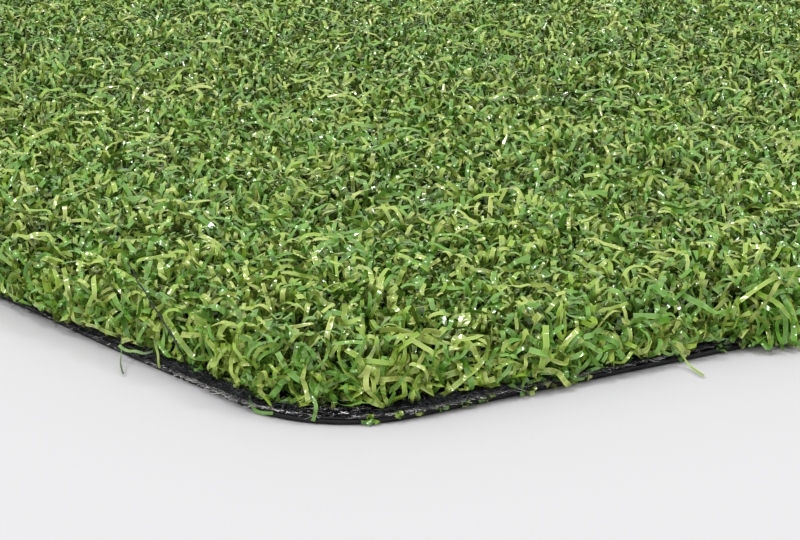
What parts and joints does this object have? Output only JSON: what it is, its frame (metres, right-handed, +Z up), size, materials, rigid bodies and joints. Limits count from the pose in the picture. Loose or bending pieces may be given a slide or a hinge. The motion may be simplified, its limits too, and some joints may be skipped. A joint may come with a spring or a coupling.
{
  "type": "golf hitting mat",
  "caption": "Rectangular golf hitting mat with a low curled ribbon pile sewn in needle rows through a fleece-capped cloth on a thin black rubbery base sheet.",
  "frame": {"origin": "centre of the underside, on the surface that the mat lies on", "axes": "+Z up out of the pile, +Y along the needle rows, which is the mat's long side, +X across the rows"},
  "size_m": [0.6124, 0.9172, 0.016],
  "materials": {
    "pile_yarn": "semi-gloss curled flat ribbon yarn in olive-lime and emerald green",
    "fleece": "matt hairy black felt",
    "backing_cloth": "matt plain weave, grey where it is cut",
    "latex_coat": "satin dried latex",
    "base_rubber": "satin black rubbery sheet"
  },
  "bodies": {
    "root": {"pile_rows_01": "pile_yarn", "pile_rows_02": "pile_yarn", "pile_rows_03": "pile_yarn", "pile_rows_04": "pile_yarn", "pile_rows_05": "pile_yarn", "pile_rows_06": "pile_yarn", "pile_rows_07": "pile_yarn", "pile_rows_08": "pile_yarn", "pile_rows_09": "pile_yarn", "pile_rows_10": "pile_yarn", "pile_rows_11": "pile_yarn", "pile_rows_12": "pile_yarn", "pile_rows_13": "pile_yarn", "pile_rows_14": "pile_yarn", "pile_rows_15": "pile_yarn", "pile_rows_16": "pile_yarn", "fleece_cap": "fleece", "woven_backing": "backing_cloth", "locking_coat": "latex_coat", "base_sheet": "base_rubber"}
  },
  "joints": []
}
